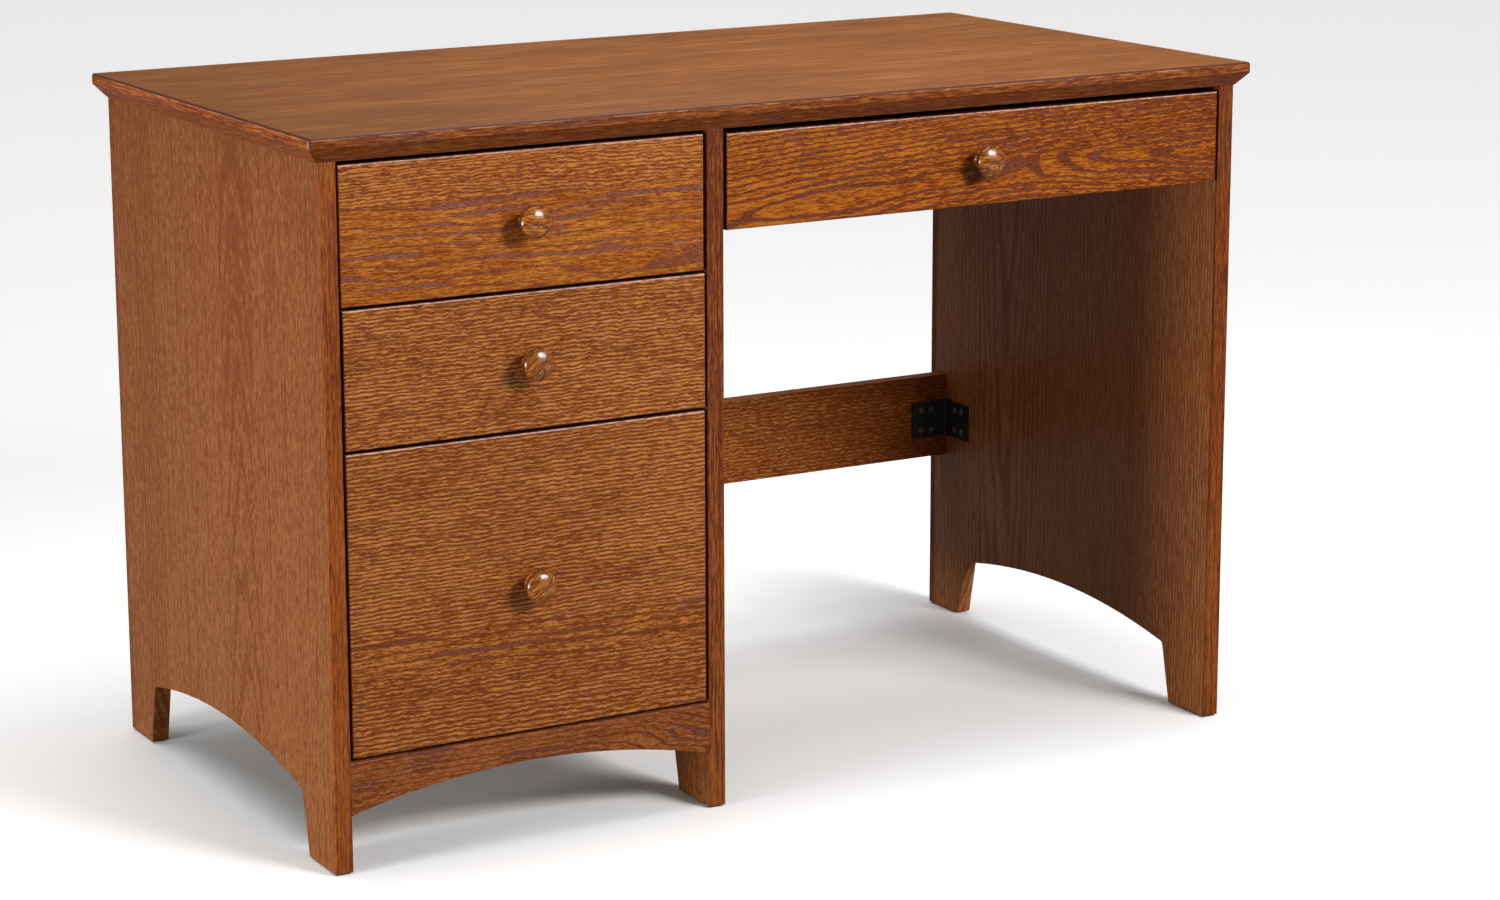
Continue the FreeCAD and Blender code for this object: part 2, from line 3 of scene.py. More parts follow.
import bmesh
import bpy
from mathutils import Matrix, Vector


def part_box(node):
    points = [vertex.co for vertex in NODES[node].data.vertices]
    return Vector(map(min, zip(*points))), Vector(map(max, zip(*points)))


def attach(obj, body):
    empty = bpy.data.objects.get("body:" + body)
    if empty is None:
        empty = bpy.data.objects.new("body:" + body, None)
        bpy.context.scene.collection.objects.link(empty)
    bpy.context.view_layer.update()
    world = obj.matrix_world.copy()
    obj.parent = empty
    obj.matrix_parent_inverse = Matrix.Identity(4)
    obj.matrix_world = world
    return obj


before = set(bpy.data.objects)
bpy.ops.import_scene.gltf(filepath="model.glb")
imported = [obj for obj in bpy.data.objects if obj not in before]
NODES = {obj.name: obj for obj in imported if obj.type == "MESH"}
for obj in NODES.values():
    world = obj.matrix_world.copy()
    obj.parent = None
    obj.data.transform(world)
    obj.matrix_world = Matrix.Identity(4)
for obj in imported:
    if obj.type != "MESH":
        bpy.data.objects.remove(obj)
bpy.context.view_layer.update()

X, Y, Z = 0, 1, 2
MILLIMETRES = 1000.0
DRAWERS = ("top_drawer", "middle_drawer", "file_drawer", "pencil_drawer")


class Graph:
    """A node material, with short calls for the nodes that the finishes share."""

    def __init__(self, name):
        self.material = bpy.data.materials.new(name)
        self.material.use_nodes = True
        self.tree = self.material.node_tree
        self.tree.nodes.clear()
        self.shader = self.add("ShaderNodeBsdfPrincipled")
        output = self.add("ShaderNodeOutputMaterial")
        self.tree.links.new(self.shader.outputs["BSDF"], output.inputs["Surface"])

    def add(self, kind, **settings):
        node = self.tree.nodes.new(kind)
        for key, value in settings.items():
            setattr(node, key, value)
        return node

    def put(self, socket, value):
        """Links a socket to another one, or sets its own value."""
        if isinstance(value, bpy.types.NodeSocket):
            self.tree.links.new(value, socket)
        elif isinstance(value, tuple) and len(value) == 3 and len(socket.default_value) == 4:
            socket.default_value = (*value, 1.0)
        else:
            socket.default_value = value

    def math(self, operation, a, b=0.0, c=0.0):
        node = self.add("ShaderNodeMath", operation=operation)
        for socket, value in zip(node.inputs, (a, b, c)):
            self.put(socket, value)
        return node.outputs[0]

    def plus(self, *terms):
        total = terms[0]
        for term in terms[1:]:
            total = self.math("ADD", total, term)
        return total

    def minus(self, a, b):
        return self.math("SUBTRACT", a, b)

    def times(self, *factors):
        product = factors[0]
        for factor in factors[1:]:
            product = self.math("MULTIPLY", product, factor)
        return product

    def absolute(self, value):
        return self.math("ABSOLUTE", value)

    def ramp(self, value, low, high, to_low=0.0, to_high=1.0):
        """A smooth step from to_low to to_high as the value goes from low to high."""
        node = self.add("ShaderNodeMapRange", interpolation_type="SMOOTHSTEP")
        for socket, entry in zip(node.inputs, (value, low, high, to_low, to_high)):
            self.put(socket, entry)
        return node.outputs[0]

    def steps(self, value, starts, levels):
        """The level of the interval that the value lies in; the first one has no start."""
        total = float(levels[0])
        for start, before, after in zip(starts, levels, levels[1:]):
            if after != before:
                past = self.math("GREATER_THAN", value, start)
                total = self.math("MULTIPLY_ADD", past, after - before, total)
        return total

    def tones(self, value, stops):
        """A colour from its stops, which are (value, colour) in rising order."""
        node = self.add("ShaderNodeValToRGB")
        points = node.color_ramp.elements
        while len(points) < len(stops):
            points.new(1.0)
        for point, (position, colour) in zip(points, stops):
            point.position = position
            point.color = (*colour, 1.0)
        self.put(node.inputs[0], value)
        return node.outputs["Color"]

    def mix(self, factor, a, b):
        node = self.add("ShaderNodeMix", data_type="RGBA")
        self.put(node.inputs["Factor"], factor)
        self.put(node.inputs["A"], a)
        self.put(node.inputs["B"], b)
        return node.outputs["Result"]

    def parts(self, kind, value):
        """The three parts of a vector (XYZ) or of a colour (Color)."""
        node = self.add("ShaderNodeSeparate" + kind)
        self.put(node.inputs[0], value)
        return list(node.outputs)

    def facing(self):
        """The surface's own direction, as x, y and z."""
        return self.parts("XYZ", self.add("ShaderNodeNewGeometry").outputs["Normal"])

    def place(self, centre):
        """Millimetres from a centre along X, Y and Z, in the piece's own frame."""
        node = self.add("ShaderNodeVectorMath", operation="MULTIPLY_ADD")
        self.put(node.inputs[0], self.add("ShaderNodeTexCoord").outputs["Object"])
        node.inputs[1].default_value = (MILLIMETRES,) * 3
        node.inputs[2].default_value = tuple(-MILLIMETRES * c for c in centre)
        return self.parts("XYZ", node.outputs[0])

    def stretched(self, entry):
        """A value, or (value, period) or (value, period, shift), as a coordinate of a noise."""
        if not isinstance(entry, tuple):
            return entry
        value, period, *shift = entry
        return self.plus(self.times(value, 1 / period), *shift)

    def noise(self, a, b, c, detail=1.0, rough=0.5, output="Fac"):
        """Smooth noise. Each coordinate is a value, or has its period and a shift beside it."""
        point = self.add("ShaderNodeCombineXYZ")
        for socket, entry in zip(point.inputs, (a, b, c)):
            self.put(socket, self.stretched(entry))
        node = self.add("ShaderNodeTexNoise")
        self.put(node.inputs["Vector"], point.outputs[0])
        self.put(node.inputs["Scale"], 1.0)
        self.put(node.inputs["Detail"], detail)
        self.put(node.inputs["Roughness"], rough)
        return node.outputs[output]

    def finish(self, colour, roughness, height=None, strength=0.3, depth=0.0002, **sockets):
        """The material, with bumps of a depth in metres; sockets are the shader's plain values."""
        self.put(self.shader.inputs["Base Color"], colour)
        self.put(self.shader.inputs["Roughness"], roughness)
        if height is not None:
            bump = self.add("ShaderNodeBump")
            bump.inputs["Strength"].default_value = strength
            bump.inputs["Distance"].default_value = depth
            self.put(bump.inputs["Height"], height)
            self.put(self.shader.inputs["Normal"], bump.outputs[0])
        for key, value in sockets.items():
            self.shader.inputs[key.replace("_", " ")].default_value = value
        return self.material


def middle_of(names):
    """The middle of the box round some nodes."""
    lows, highs = zip(*(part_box(name) for name in names))
    low = Vector(min(point[axis] for point in lows) for axis in (X, Y, Z))
    high = Vector(max(point[axis] for point in highs) for axis in (X, Y, Z))
    return (low + high) / 2


def scaled(colour, share):
    return tuple(channel * share for channel in colour)


def seed_of(name, seeds):
    """A number that moves one material's noise away from the others'."""
    return sum(ord(letter) for letter in name) % seeds


def dress(material, *names):
    """Puts a material on every slot of some nodes."""
    for name in names:
        slots = NODES[name].data.materials
        if len(slots):
            for index in range(len(slots)):
                slots[index] = material
        else:
            slots.append(material)


# ------------------------------------------------------------------ how oak looks

# The stain's tones on each kind of board, from the dark lines to the lightest flecks, and then
# the greyer tone of crowded pores (linear RGB)
GOLD = ((0.145, 0.027, 0.003), (0.295, 0.071, 0.004), (0.395, 0.115, 0.010),
        (0.56, 0.205, 0.034), (0.25, 0.098, 0.070))
BROWN = ((0.132, 0.026, 0.003), (0.258, 0.063, 0.006), (0.355, 0.109, 0.017),
         (0.54, 0.205, 0.044), (0.22, 0.078, 0.045))
RUST = ((0.103, 0.016, 0.001), (0.230, 0.043, 0.001), (0.318, 0.072, 0.002),
        (0.48, 0.145, 0.009), (0.20, 0.062, 0.030))
EDGE = ((0.120, 0.024, 0.005), (0.235, 0.055, 0.008), (0.310, 0.090, 0.016),
        (0.38, 0.135, 0.040), (0.20, 0.075, 0.050))
BAND = ((0.095, 0.019, 0.003), (0.205, 0.047, 0.006), (0.255, 0.066, 0.010),
        (0.29, 0.088, 0.020), (0.14, 0.036, 0.012))
SIDE = ((0.190, 0.048, 0.009), (0.250, 0.077, 0.017), (0.292, 0.102, 0.028),
        (0.33, 0.126, 0.040), (0.19, 0.060, 0.024))
TOP = ((0.178, 0.063, 0.020), (0.228, 0.079, 0.020), (0.274, 0.099, 0.027),
       (0.313, 0.124, 0.040), (0.20, 0.081, 0.035))
TONE_STOPS = (0.0, 0.42, 0.74, 1.0)     # brightness at which each of the first four tones lies
MIDDLE_BRIGHTNESS = 0.46                # of a plain board without lines or flecks

# Periods of the oak's figure in millimetres, along the grain and then across it
DRIFT = (190, 42)                       # the lines' slow drift, and the cloudy shading
SHIVER = (11, 16)                       # the lines' short ripples
HAIR = (46, 1.9)                        # fibres
CURL = (9, 3.4)                         # the mottle of a rotary veneer
AGE = (400, 17)                         # how years differ: along the grain, and along the radius
BAND_CHANGE = 14                        # along the radius, how the lines' width changes
PORE_SHARE = (0.45, 0.62)               # a pore's length and width over a fleck's

DEPTH_DRIFT = 2.2                       # drift through the face over drift across it
PORED_SHARE = 0.56                      # of a ring, taken by its band of large pores
PORED_RANGE = (-0.32, 0.30)             # how much narrower and wider the band may be
BOARD_SEED = 7.3                        # keeps neighbouring boards' noise apart
PORE_DEPTH = 0.00025

# The rest of a board's figure, where its call doesn't say otherwise
PLAIN_BOARD = {
    "flat": -2000.0,    # up to this place along the grain, the heart keeps its depth
    "lean": 0.0,        # and goes this fast across the face instead
    "ripple": 0.0,      # how far the growth lines shiver
    "rings": 4.0,       # width of a year's ring
    "line": 0.5,        # darkness of the growth lines
    "patch": 0.6,       # how much of the lines is the grey of crowded pores
    "swell": 1.0,       # how much the lines' width varies
    "lift": 0.0,        # brightness of the whole board
    "grit": 1.0,        # strength of the flecks
}


def board(start, pith, depth, rise, **figure):
    """One board of a glued or veneered face, in millimetres from the middle of the face. It
    begins at start across the face. Its heart lies at pith across the face and at depth behind
    it, and that depth rises along the grain."""
    return {**PLAIN_BOARD, "start": start, "pith": pith, "depth": depth, "rise": rise, **figure}


def oak(name, dressed, axes, boards, tones, around=None, tone=1.0, sway=6.0, dash=0.8,
        fleck=(13.0, 1.7), fibre=0.4, cloud=0.7, mottle=0.0, point=2.0, painted_falloff=0.0, reach=85.0,
        gloss=0.38, shine=0.14, relief=1.0, arris=None):
    """Stained oak on the dressed nodes, measured from the middle of the nodes around.

    axes are the grain, across and depth axes of the face. tone is the stain's brightness, and
    painted_falloff how fast a painted gradient of light and shade lightens it along the grain.
    sway is how far the growth lines drift, and reach how far along the grain one keeps its
    width. A point below 2 sharpens the cathedral arches.
    dash, fibre, cloud and mottle are the strengths of the flecks, the fibres, the slow shading
    and the curl, and fleck is a fleck's length and width. gloss is the roughness, shine the
    reflectivity and relief the depth of the pores. arris treats the face's edges."""
    g = Graph(name)
    place = g.place(middle_of(around or dressed))
    u, v, w = (place[axis] for axis in axes)
    starts = [each["start"] for each in boards[1:]]
    seed = seed_of(name, 97)

    def own(key):
        """The figure of the board that this place is on."""
        return g.steps(v, starts, [each[key] for each in boards])

    here = g.steps(v, starts, [seed + BOARD_SEED * index for index in range(len(boards))])
    broad = g.noise((u, DRIFT[0]), (v, DRIFT[1]), here, 2.0, 0.55, "Color")
    drift_v, drift_w, shade = (g.minus(part, 0.5) for part in g.parts("Color", broad))
    shiver = g.minus(g.noise((u, SHIVER[0]), (v, SHIVER[1]), g.plus(here, 3.1)), 0.5)
    v1 = g.plus(v, g.times(shiver, own("ripple")), g.times(drift_v, sway))
    w1 = g.plus(w, g.times(drift_w, sway * DEPTH_DRIFT))

    # Growth rings about a heart that comes nearer, goes deeper or leans along the board
    leaning = g.math("MINIMUM", g.minus(u, own("flat")), 0.0)
    side = g.minus(v1, g.plus(own("pith"), g.times(leaning, own("lean"))))
    risen = g.times(g.math("MAXIMUM", u, own("flat")), own("rise"))
    deep = g.math("MAXIMUM", 0.5, g.plus(w1, own("depth"), risen))
    powers = g.plus(g.math("POWER", g.absolute(side), point), g.math("POWER", deep, point))
    radius = g.math("POWER", powers, 1 / point)
    years = g.noise((radius, AGE[1]), here, (u, AGE[0]))
    swell = own("swell")
    uneven = g.times(years, g.math("MULTIPLY_ADD", swell, 0.9, 0.6))
    ring = g.math("FRACT", g.plus(g.math("DIVIDE", radius, own("rings")), uneven))

    # Each ring starts with a band of large pores, narrow in some places and wide in others
    spread = g.noise((u, reach), (radius, BAND_CHANGE), g.plus(here, 9.0))
    width = g.plus(PORED_SHARE, g.times(swell, g.ramp(spread, 0.47, 0.68, *PORED_RANGE)))
    early = g.times(g.ramp(g.math("DIVIDE", ring, width), 0.45, 1.0, 1.0, 0.0),
                    g.ramp(ring, 0.0, 0.10))

    long, thin = fleck
    short, fine = long * PORE_SHARE[0], thin * PORE_SHARE[1]
    flecks = g.noise((u, long), (v1, thin), (w, thin), 2.0, 0.55)
    pores = g.noise((u, short), (v1, fine), (w, fine, 31.7))
    hair = g.noise((u, HAIR[0]), (v1, HAIR[1]), (w, HAIR[1], here), 2.0, 0.6)
    speckle = g.plus(g.ramp(flecks, 0.41, 0.59, -0.5, 0.5), g.ramp(pores, 0.42, 0.58, -0.3, 0.3))
    bright = g.plus(MIDDLE_BRIGHTNESS, own("lift"), g.times(early, own("line"), -1.0),
                    g.times(speckle, own("grit"), dash),
                    g.times(g.minus(hair, 0.5), fibre), g.times(shade, cloud))
    # A painted gradient of light and shade: the brightness ramps along the grain
    if painted_falloff:
        bright = g.plus(bright, g.times(u, painted_falloff))
    if mottle:
        curl = g.noise((u, CURL[0]), (v1, CURL[1]), g.plus(here, 14.0), 2.0, 0.6)
        bright = g.plus(bright, g.times(g.ramp(curl, 0.36, 0.64, -0.5, 0.5), mottle))
    for start in starts:
        seam = g.ramp(g.absolute(g.minus(v, start)), 0.3, 1.2, -0.22, 0.0)
        bright = g.plus(bright, seam)

    tint = [scaled(colour, tone) for colour in tones]
    colour = g.tones(bright, list(zip(TONE_STOPS, tint)))
    # Crowded pores read as pale dots on a dark ground
    dots = g.mix(g.ramp(pores, 0.42, 0.58), scaled(tint[0], 1.25), tint[4])
    patch = g.times(early, g.ramp(width, 0.26, 0.6, 0.45, 1.0), own("patch"))
    colour = g.mix(patch, colour, dots)
    roughness = g.plus(gloss, g.times(patch, 0.14), g.times(shade, 0.10))
    height = g.plus(g.times(flecks, 0.5), g.times(patch, -0.8), g.times(pores, 0.4))
    if arris:
        colour, roughness = arris(g, place, colour, roughness, flecks, tint)
    dress(g.finish(colour, roughness, height, 0.30 * relief, PORE_DEPTH,
                   Specular_IOR_Level=shine), *dressed)


# ------------------------------------------------------------------ arrises

FRONT_HIGHLIGHT = (0.62, 0.42, 0.36)             # painted highlight on a front's upper arris
TOP_DARK_REFLECTION = (0.055, 0.016, 0.010)        # painted dark reflection on the upper part of the top's arris
TOP_HIGHLIGHT = (0.44, 0.25, 0.19)               # painted highlight on the lower part of the top's arris
CORNER_DARK_REFLECTION = (0.075, 0.020, 0.010)          # painted dark reflection on the upright arris at the top's corners
CORNER_HIGHLIGHT = (0.50, 0.34, 0.28)         # and the painted highlight line beside it
TOP_HALF = [MILLIMETRES / 2 * (high - low) for low, high in zip(*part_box("desktop_panel"))]


def front_arris(g, place, colour, roughness, flecks, tint):
    """A drawer front's rounded arrises: a broken painted highlight on top, and painted shade on its
    edges and ends, where the gaps are.
    """
    y, z = g.facing()[Y:]
    # Painted highlight along the upper arris, broken by the flecks
    upwards = g.times(g.ramp(z, 0.22, 0.5), g.ramp(z, 0.97, 0.8))
    painted_highlight = g.times(upwards, g.ramp(flecks, 0.36, 0.6, 0.25, 1.0))
    colour = g.mix(g.times(painted_highlight, 0.85), colour, FRONT_HIGHLIGHT)
    # Painted shade on the faces that turn away from the front, which sit in the gaps
    gap_shade = g.ramp(g.absolute(y), 0.75, 0.3)
    colour = g.mix(g.times(gap_shade, g.minus(1.0, painted_highlight), 0.8), colour, scaled(tint[0], 0.3))
    return colour, g.plus(roughness, g.times(painted_highlight, -0.08))


def top_arris(g, place, colour, roughness, flecks, tint):
    """The top's rounded arris: a painted dark reflection on its upper part, and a broken painted
    highlight on its lower part.
    """
    z = g.facing()[Z]
    # Painted dark reflection where the arris turns from the top surface
    dark_reflection = g.times(g.ramp(z, 0.985, 0.95), g.ramp(z, 0.30, 0.5))
    colour = g.mix(g.times(dark_reflection, 0.9), colour, TOP_DARK_REFLECTION)
    # Painted highlight, broken by the flecks, where the arris turns down to the band
    painted_highlight = g.times(g.ramp(z, 0.05, 0.14), g.ramp(z, 0.36, 0.24), g.ramp(flecks, 0.48, 0.60))
    return g.mix(g.times(painted_highlight, 0.45), colour, TOP_HIGHLIGHT), roughness


def moulded_arris(g, place, colour, roughness, flecks, tint):
    """The moulding: the top's painted arris reflection and highlight, a painted dark reflection
    with a painted highlight line at its upright corners, a chamfer darker and plainer than its
    band, and dark lines at its mitres.
    """
    colour, roughness = top_arris(g, place, colour, roughness, flecks, tint)
    x, y, z = g.facing()
    along, across = g.absolute(x), g.absolute(y)
    # Painted dark reflection on the upright arris at the top's corners
    corner_reflection = g.ramp(g.math("MINIMUM", along, across), 0.12, 0.45)
    colour = g.mix(g.times(corner_reflection, 0.8), colour, CORNER_DARK_REFLECTION)
    # A painted highlight line on the side of that arris that faces along X
    corner_highlight_mask = g.times(g.ramp(along, 0.86, 0.93), g.ramp(along, 0.995, 0.97))
    upright = g.times(g.ramp(z, 0.3, 0.1), g.ramp(z, -0.3, -0.1))
    colour = g.mix(g.times(corner_highlight_mask, upright, 0.6), colour, CORNER_HIGHLIGHT)
    chamfer = g.ramp(z, -0.2, -0.5)
    colour = g.mix(g.times(chamfer, 0.35), colour, scaled(tint[0], 1.1))
    inwards = [g.minus(TOP_HALF[axis], g.absolute(place[axis])) for axis in (X, Y)]
    mitre = g.ramp(g.absolute(g.minus(*inwards)), 0.3, 0.8, 0.8, 0.0)
    return g.mix(mitre, colour, scaled(tint[0], 0.35)), roughness


# ------------------------------------------------------------------ the desk's oak

TOP_EDGES = ["top_edge_front", "top_edge_rear", "top_edge_left", "top_edge_right"]
MOULDING = dict(tones=EDGE, around=TOP_EDGES, dash=0.6, sway=12.0, shine=0.1, arris=moulded_arris)
VENEER = dict(tones=SIDE, dash=0.75, fleck=(12.0, 1.5), fibre=0.9, cloud=0.4, mottle=0.7,
              painted_falloff=-0.00045, relief=0.4)
LIPPING = dict(tones=BAND, fleck=(18.0, 1.3), sway=5.0)
FRONT = dict(fleck=(11.0, 1.0), arris=front_arris)

oak("oak_desktop", ["desktop_panel"], (X, Y, Z),
    [board(0, 60, 80, 0.06, rings=17, line=0.32, patch=0.1),
     board(-130, -100, 65, -0.05, rings=15, line=0.32, patch=0.1),
     board(110, 230, 70, 0.04, rings=18, line=0.32, patch=0.1)],
    TOP, tone=0.645, sway=18.0, dash=0.4, fleck=(60.0, 3.0), fibre=1.3, cloud=1.4, gloss=0.48,
    painted_falloff=0.00012, shine=0.10, relief=0.25, arris=top_arris)
oak("oak_edge_long", ["top_edge_front", "top_edge_rear"], (X, Z, Y),
    [board(0, 14, 300, 0.012, ripple=2.0, rings=5.5, line=0.5, patch=0.95)],
    tone=0.76, fleck=(22.0, 1.8), **MOULDING)
oak("oak_edge_short", ["top_edge_left", "top_edge_right"], (Y, Z, X),
    [board(0, 18, 560, 0.015, ripple=2.0, rings=5.0, line=0.5, patch=0.8)],
    tone=0.85, fleck=(30.0, 1.8), **MOULDING)

oak("oak_left_panel", ["left_side_panel"], (Z, Y, X),
    [board(0, -420, 60, 0.0, rings=9, line=0.5, patch=0.3, lift=0.14),
     board(-213, -420, 60, 0.0, ripple=1.5, rings=7, line=0.45, patch=0.3, lift=0.2),
     board(-104, -62, 150, 0.10, ripple=9.0, rings=9, line=0.6, patch=0.45, swell=0.5,
           lift=0.05),
     board(-20, -420, 60, 0.0, rings=14, line=0.25, patch=0.3, lift=0.14),
     board(170, 330, 60, 0.0, rings=7.5, line=1.5, patch=0.5, swell=0.3, lift=0.04),
     board(228, 430, 60, 0.0, rings=12, line=0.2, patch=0.2, lift=-0.04)],
    tone=0.71, sway=7.0, point=1.5, **VENEER)
oak("oak_divider", ["divider_panel"], (Z, Y, X),
    [board(0, -60, 50, 0.05, rings=8), board(60, 90, 45, -0.04, rings=8)], tone=0.8, **VENEER)
# Painted shade: the inner face darkens towards the top, under the desktop
oak("oak_right_panel", ["right_side_panel"], (Z, Y, X),
    [board(0, -460, 60, 0.004, ripple=6.0, rings=5, line=1.4, patch=0.4, swell=0.4, lift=0.16),
     board(-150, 300, 90, 0.02, ripple=6.0, rings=5.5, line=1.4, patch=0.5, swell=0.5,
           lift=0.54),
     board(40, 130, 70, -0.03, ripple=6.0, rings=6, line=1.4, patch=0.4, swell=0.5, lift=0.42)],
    SIDE, tone=1.04, dash=1.1, fleck=(22.0, 1.8), fibre=0.8, cloud=0.4, painted_falloff=-0.0007,
    shine=0.25, relief=0.7)
oak("oak_front_bands", ["left_panel_front_band"], (Z, X, Y),
    [board(0, 40, 24, 0.012, ripple=1.0, rings=5.0, line=0.35, patch=0.3, lift=0.10)],
    tone=1.04, dash=0.5, painted_falloff=-0.0001, **LIPPING)
oak("oak_divider_band", ["divider_front_band"], (Z, X, Y),
    [board(0, -20, 22, 0.010, ripple=1.0, rings=4.2, line=0.7)],
    tone=0.85, dash=0.7, painted_falloff=-0.0011, **LIPPING)
oak("oak_right_band", ["right_panel_front_band"], (Z, X, Y),
    [board(0, 26, 26, -0.012, ripple=1.0, rings=5.0, line=0.5)],
    tone=0.82, dash=0.5, painted_falloff=-0.0005, **LIPPING)
oak("oak_rear_bands", ["panel_rear_bands"], (Z, Y, X),
    [board(0, 12, 30, 0.01, rings=3.6)], SIDE, tone=0.62)

oak("oak_toe_rail", ["toe_rail"], (X, Z, Y),
    [board(0, -40, 10, 0.28, flat=60.0, ripple=4.0, rings=6.0, line=1.2, patch=1.0, lift=0.22)],
    EDGE, tone=0.745, dash=0.6, fleck=(9.0, 1.3), sway=14.0)
# Painted shade: the stretcher darkens towards its right end, by the right panel
oak("oak_stretcher", ["kneehole_stretcher"], (X, Z, Y),
    [board(0, 160, 60, 0.03, ripple=5.0, rings=4.6, line=0.65, patch=0.4, swell=0.1, lift=0.2)],
    BROWN, tone=1.0, dash=0.6, fleck=(10.0, 1.4), painted_falloff=-0.0011)
oak("oak_apron", ["kneehole_rear_apron"], (X, Z, Y),
    [board(0, -50, 40, -0.03, ripple=2.0, rings=4.2)], BROWN)
oak("oak_back", ["pedestal_back"], (Z, X, Y),
    [board(0, 30, 60, 0.03, rings=8)], tone=0.9, **VENEER)

oak("oak_top_front", ["top_drawer_front"], (X, Z, Y),
    [board(0, -70, 40, 0.015, ripple=1.5, rings=9.0, line=0.5, patch=1.0, swell=0.9, lift=0.08,
           grit=0.6),
     board(26, 190, 60, 0.01, ripple=4.0, rings=3.6, line=1.0, patch=0.5, swell=0.1, lift=0.3)],
    GOLD, tone=0.84, dash=0.95, fibre=1.0, sway=15.0, point=1.6, reach=130.0, **FRONT)
oak("oak_middle_front", ["middle_drawer_front"], (X, Z, Y),
    [board(0, 290, 60, 0.02, ripple=4.0, rings=4.1, line=1.2, patch=0.5, swell=0.1, lift=0.32)],
    BROWN, tone=0.83, dash=0.9, fibre=0.7, **FRONT)
oak("oak_file_front", ["file_drawer_front"], (X, Z, Y),
    [board(0, -250, 90, 0.01, ripple=3.5, rings=4.3, line=1.1, patch=0.5, swell=0.1, lift=0.24),
     board(-84, -96, 60, 0.02, ripple=2.0, rings=6.0, line=0.8, patch=0.8, swell=0.8,
           lift=0.06),
     board(-42, 350, 60, 0.02, ripple=3.5, rings=4.3, line=1.2, patch=0.5, swell=0.1,
           lift=0.32)],
    BROWN, tone=0.79, dash=0.8, fibre=0.7, point=1.6, **FRONT)
oak("oak_pencil_front", ["pencil_drawer_front"], (X, Z, Y),
    [board(0, -14, 44, -0.09, flat=60.0, lean=0.06, ripple=3.0, rings=5.0, line=1.1, patch=0.9,
           swell=0.5, lift=0.20)],
    RUST, tone=0.77, dash=0.75, fibre=0.7, sway=8.0, painted_falloff=-0.0008, **FRONT)

# ------------------------------------------------------------------ knobs

# How deep the growth rings' middle lies behind the knob's, and how far depth along it counts
KNOB_HEART = 16.0
KNOB_DEPTH_SHARE = 0.7
KNOB_TONES = ((0.34, (0.085, 0.017, 0.002)), (0.50, (0.22, 0.060, 0.004)),
              (0.68, (0.42, 0.155, 0.018)))
KNOB_LINE = (0.05, 0.014, 0.004)
# The painted shade at a knob's rim, where its face turns sideways
KNOB_RIM_SHADE = (0.040, 0.012, 0.003)


def turned(name, node, lean, pith, rise, rings, tone):
    """Glossy turned hardwood, with dark growth lines at a lean across the knob's face."""
    g = Graph(name)
    x, y, z = g.place(middle_of([node]))
    seed = seed_of(name, 89)
    u = g.plus(g.times(x, math.cos(lean)), g.times(z, math.sin(lean)))
    v = g.plus(g.times(x, -math.sin(lean)), g.times(z, math.cos(lean)))
    warp = g.minus(g.noise((u, 16), (v, 9), seed), 0.5)
    side = g.plus(v, g.times(warp, 5.0), -pith)
    deep = g.plus(g.times(y, KNOB_DEPTH_SHARE), KNOB_HEART, g.times(u, rise))
    radius = g.math("SQRT", g.plus(g.times(side, side), g.times(deep, deep)))
    ring = g.math("FRACT", g.plus(g.times(radius, 1 / rings), seed * 0.13))
    breaks = g.noise((u, 8), (v, 2.4), seed + 5.0)
    stroke = g.times(g.ramp(ring, 0.0, 0.12), g.ramp(ring, 0.18, 0.42, 1.0, 0.0),
                     g.ramp(breaks, 0.30, 0.50))
    silk = g.noise((u, 14), (v, 1.3), (y, 4), 2.0, 0.6)
    colour = g.tones(silk, [(place, scaled(colour, tone)) for place, colour in KNOB_TONES])
    colour = g.mix(g.times(stroke, 0.8), colour, KNOB_LINE)
    # Painted dark reflection: the rim, where the face turns sideways, is darkened as if the lacquer
    # mirrored the dark room
    rim_shade = g.ramp(g.absolute(g.facing()[Y]), 0.48, 0.15)
    colour = g.mix(g.times(rim_shade, 0.8), colour, KNOB_RIM_SHADE)
    dress(g.finish(colour, g.plus(0.34, g.times(stroke, 0.1)), silk, 0.08, 0.0001,
                   Coat_Weight=0.8, Coat_Roughness=0.20, Specular_IOR_Level=0.1), node)


turned("oak_knob_top", "top_drawer_knob", -0.12, -9.0, 0.1, 9.0, 1.15)
turned("oak_knob_middle", "middle_drawer_knob", 0.75, -6.0, 0.5, 6.0, 0.95)
turned("oak_knob_file", "file_drawer_knob", 0.62, 12.0, 0.2, 4.2, 1.15)
turned("oak_knob_pencil", "pencil_drawer_knob", 0.1, -8.0, 0.6, 7.5, 1.0)

# ------------------------------------------------------------------ plain boards and metal

PALE_WOOD = (0.58, 0.40, 0.22)
PALE_LINE = (0.44, 0.27, 0.13)
PALE_FIBRE = (0.33, 0.19, 0.09)
BRUSH_LONG, BRUSH_THIN = 40.0, 0.7      # brush lines on steel, in millimetres
BLOTCH = 14                             # and its blotches


